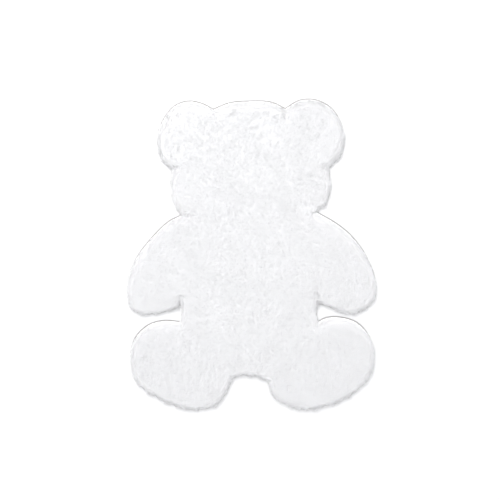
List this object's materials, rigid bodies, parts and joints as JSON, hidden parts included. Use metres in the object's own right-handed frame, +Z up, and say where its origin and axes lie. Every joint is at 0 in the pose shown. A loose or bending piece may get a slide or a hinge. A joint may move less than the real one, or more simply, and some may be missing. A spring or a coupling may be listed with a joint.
{
  "type": "bear shaped plush rug",
  "caption": "Flat plush floor rug cut in the outline of a bear, with round ears, head, arms and legs and a soft white combed pile.",
  "frame": {"origin": "on the floor under the middle of the rug's length and width", "axes": "+Y from the feet towards the head, +Z up out of the pile, +X to the right seen from above"},
  "size_m": [0.8012, 1.0036, 0.021],
  "materials": {
    "plush": "soft white combed pile, matt with a faint sheen"
  },
  "bodies": {
    "root": {"plush_rug": "plush"}
  },
  "joints": []
}
